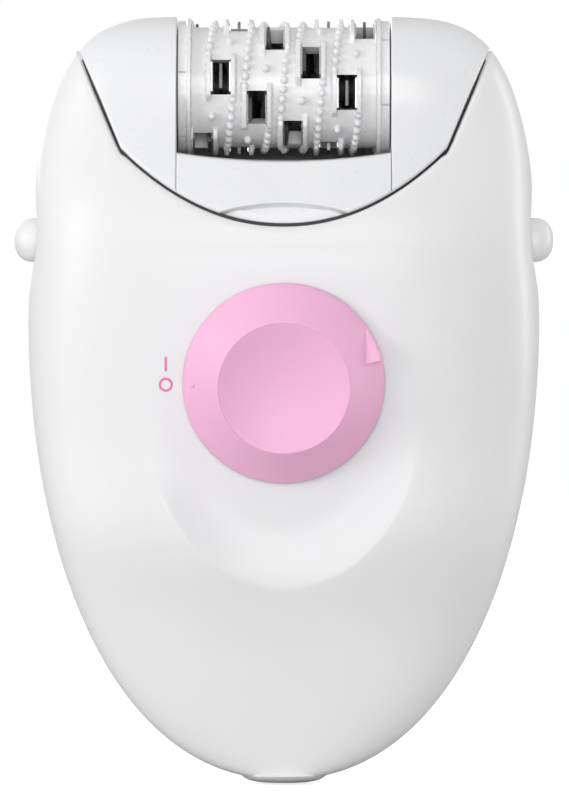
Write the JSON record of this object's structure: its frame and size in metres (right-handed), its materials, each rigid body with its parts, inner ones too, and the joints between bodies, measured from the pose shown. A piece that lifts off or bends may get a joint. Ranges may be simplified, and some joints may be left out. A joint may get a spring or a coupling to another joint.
{
  "type": "epilator",
  "caption": "Corded rotary epilator: rounded white body, turn knob, side release buttons and a lift-off head with a drum of rocking steel tweezers.",
  "frame": {"origin": "centre of the whole epilator's box at its foot, the rim of the power socket", "axes": "+Z from the power socket up to the head, -Y out of the front, which carries the knob, +X to the right as seen from the front"},
  "size_m": [0.0784, 0.042, 0.1113],
  "materials": {
    "white_plastic": "satin gloss",
    "pink_plastic": "satin gloss",
    "drum_plastic": "satin",
    "inner_plastic": "matt",
    "gear_plastic": "matt",
    "dark_plastic": "matt",
    "socket_plastic": "satin",
    "plate_steel": "brushed",
    "pin_steel": "polished",
    "can_steel": "plated",
    "magnet": "sintered",
    "winding": "enamelled",
    "brass": "turned",
    "board": "solder mask",
    "wire": "satin"
  },
  "bodies": {
    "housing": {"front_casing": "white_plastic", "rear_casing": "white_plastic", "casing_screws": "pin_steel", "rear_plate": "inner_plastic", "button_guides": "inner_plastic", "switch_body": "dark_plastic", "circuit_board": "board", "board_parts": "dark_plastic", "power_socket": "socket_plastic", "socket_pins": "brass", "power_wires": "wire", "motor_can": "can_steel", "motor_magnets": "magnet", "motor_end_cap": "inner_plastic", "motor_cradle": "inner_plastic", "reduction_pin": "pin_steel", "release_spring_left": "pin_steel", "release_spring_right": "pin_steel"},
    "knob": {"control_knob": "pink_plastic", "knob_shaft": "inner_plastic"},
    "slider": {"switch_slider": "dark_plastic"},
    "rotor": {"motor_armature": "winding", "motor_shaft": "pin_steel", "motor_pinion": "brass"},
    "reduction": {"reduction_gear": "gear_plastic"},
    "head": {"head_frame": "inner_plastic", "head_cover_left": "white_plastic", "head_cover_right": "white_plastic", "head_front_panel": "white_plastic", "head_rear_panel": "white_plastic", "head_latches": "inner_plastic", "head_gear_pin": "pin_steel", "closing_cams": "dark_plastic", "drum_axle": "pin_steel"},
    "head_idler": {"head_gear": "gear_plastic"},
    "drum": {"drum_shell": "drum_plastic", "drum_ribs": "drum_plastic", "drum_end_rings": "drum_plastic", "drum_gear": "gear_plastic", "drum_bushes": "brass", "fixed_plates": "plate_steel"},
    "button_left": {"release_button_left": "white_plastic"},
    "button_right": {"release_button_right": "white_plastic"},
    "tweezer_plate_1": {"tweezer_1": "plate_steel"},
    "tweezer_plate_2": {"tweezer_2": "plate_steel"},
    "tweezer_plate_3": {"tweezer_3": "plate_steel"},
    "tweezer_plate_4": {"tweezer_4": "plate_steel"},
    "tweezer_plate_5": {"tweezer_5": "plate_steel"},
    "tweezer_plate_6": {"tweezer_6": "plate_steel"},
    "tweezer_plate_7": {"tweezer_7": "plate_steel"},
    "tweezer_plate_8": {"tweezer_8": "plate_steel"},
    "tweezer_plate_9": {"tweezer_9": "plate_steel"},
    "tweezer_plate_10": {"tweezer_10": "plate_steel"}
  },
  "joints": [
    {"name": "knob_turn", "type": "hinge", "parent": "housing", "child": "knob", "pos_m": [0, -0.01405, 0.0581], "axis": [0, 0.9877, 0.1564], "range_deg": [0, 10]},
    {"name": "switch_slide", "type": "slide", "parent": "housing", "child": "slider", "axis": [-1, 0, 0], "range_m": [0, 0.0014]},
    {"name": "button_left_press", "type": "slide", "parent": "housing", "child": "button_left", "axis": [1, 0, 0], "range_m": [0, 0.0015], "stiffness_N_per_m": 800, "springref_m": -0.001, "deforming": ["release_spring_left"]},
    {"name": "button_right_press", "type": "slide", "parent": "housing", "child": "button_right", "axis": [-1, 0, 0], "range_m": [0, 0.0015], "stiffness_N_per_m": 800, "springref_m": -0.001, "deforming": ["release_spring_right"]},
    {"name": "head_lift", "type": "slide", "parent": "housing", "child": "head", "axis": [0, 0, 1], "range_m": [0, 0.025]},
    {"name": "motor_spin", "type": "hinge", "parent": "housing", "child": "rotor", "pos_m": [0, 0.0045, 0.06747], "axis": [1, 0, 0], "continuous": true},
    {"name": "reduction_spin", "type": "hinge", "parent": "housing", "child": "reduction", "pos_m": [0, 0, 0.07805], "axis": [1, 0, 0], "continuous": true},
    {"name": "head_gear_spin", "type": "hinge", "parent": "head", "child": "head_idler", "pos_m": [0, 0, 0.08755], "axis": [1, 0, 0], "continuous": true},
    {"name": "drum_spin", "type": "hinge", "parent": "head", "child": "drum", "pos_m": [0, 0, 0.10105], "axis": [1, 0, 0], "continuous": true},
    {"name": "tweezer_1_rock", "type": "hinge", "parent": "drum", "child": "tweezer_plate_1", "pos_m": [-0.0117, 0, 0.10105], "axis": [0, -0.9205, 0.3907], "range_deg": [-11.6, 0]},
    {"name": "tweezer_2_rock", "type": "hinge", "parent": "drum", "child": "tweezer_plate_2", "pos_m": [-0.0091, 0, 0.10105], "axis": [0, 0.1392, 0.9903], "range_deg": [-5.8, 5.8]},
    {"name": "tweezer_3_rock", "type": "hinge", "parent": "drum", "child": "tweezer_plate_3", "pos_m": [-0.0065, 0, 0.10105], "axis": [0, 0.9925, 0.1219], "range_deg": [-5.8, 5.8]},
    {"name": "tweezer_4_rock", "type": "hinge", "parent": "drum", "child": "tweezer_plate_4", "pos_m": [-0.0039, 0, 0.10105], "axis": [0, 0.3746, -0.9272], "range_deg": [-11.6, 0]},
    {"name": "tweezer_5_rock", "type": "hinge", "parent": "drum", "child": "tweezer_plate_5", "pos_m": [-0.0013, 0, 0.10105], "axis": [0, -0.7986, -0.6018], "range_deg": [-11.6, 0]},
    {"name": "tweezer_6_rock", "type": "hinge", "parent": "drum", "child": "tweezer_plate_6", "pos_m": [0.0013, 0, 0.10105], "axis": [0, -0.788, 0.6157], "range_deg": [0, 11.6]},
    {"name": "tweezer_7_rock", "type": "hinge", "parent": "drum", "child": "tweezer_plate_7", "pos_m": [0.0039, 0, 0.10105], "axis": [0, 0.3907, 0.9205], "range_deg": [0, 11.6]},
    {"name": "tweezer_8_rock", "type": "hinge", "parent": "drum", "child": "tweezer_plate_8", "pos_m": [0.0065, 0, 0.10105], "axis": [0, 0.9903, -0.1392], "range_deg": [-5.8, 5.8]},
    {"name": "tweezer_9_rock", "type": "hinge", "parent": "drum", "child": "tweezer_plate_9", "pos_m": [0.0091, 0, 0.10105], "axis": [0, 0.1219, -0.9925], "range_deg": [-5.8, 5.8]},
    {"name": "tweezer_10_rock", "type": "hinge", "parent": "drum", "child": "tweezer_plate_10", "pos_m": [0.0117, 0, 0.10105], "axis": [0, -0.9272, -0.3746], "range_deg": [-5.8, 5.8]}
  ],
  "couplings": [
    {"joint": "switch_slide", "follows": "knob_turn", "m_per_rad": 0.008},
    {"joint": "reduction_spin", "follows": "motor_spin", "ratio": -0.27778},
    {"joint": "head_gear_spin", "follows": "motor_spin", "ratio": 0.16204},
    {"joint": "drum_spin", "follows": "motor_spin", "ratio": -0.12963},
    {"joint": "tweezer_2_rock", "follows": "tweezer_1_rock", "ratio": 0.5},
    {"joint": "tweezer_3_rock", "follows": "tweezer_1_rock", "ratio": -0.5},
    {"joint": "tweezer_4_rock", "follows": "tweezer_1_rock", "ratio": 1},
    {"joint": "tweezer_5_rock", "follows": "tweezer_1_rock", "ratio": 1},
    {"joint": "tweezer_6_rock", "follows": "tweezer_1_rock", "ratio": -1},
    {"joint": "tweezer_7_rock", "follows": "tweezer_1_rock", "ratio": -1},
    {"joint": "tweezer_8_rock", "follows": "tweezer_1_rock", "ratio": 0.5},
    {"joint": "tweezer_9_rock", "follows": "tweezer_1_rock", "ratio": -0.5},
    {"joint": "tweezer_10_rock", "follows": "tweezer_1_rock", "ratio": 0.5}
  ]
}
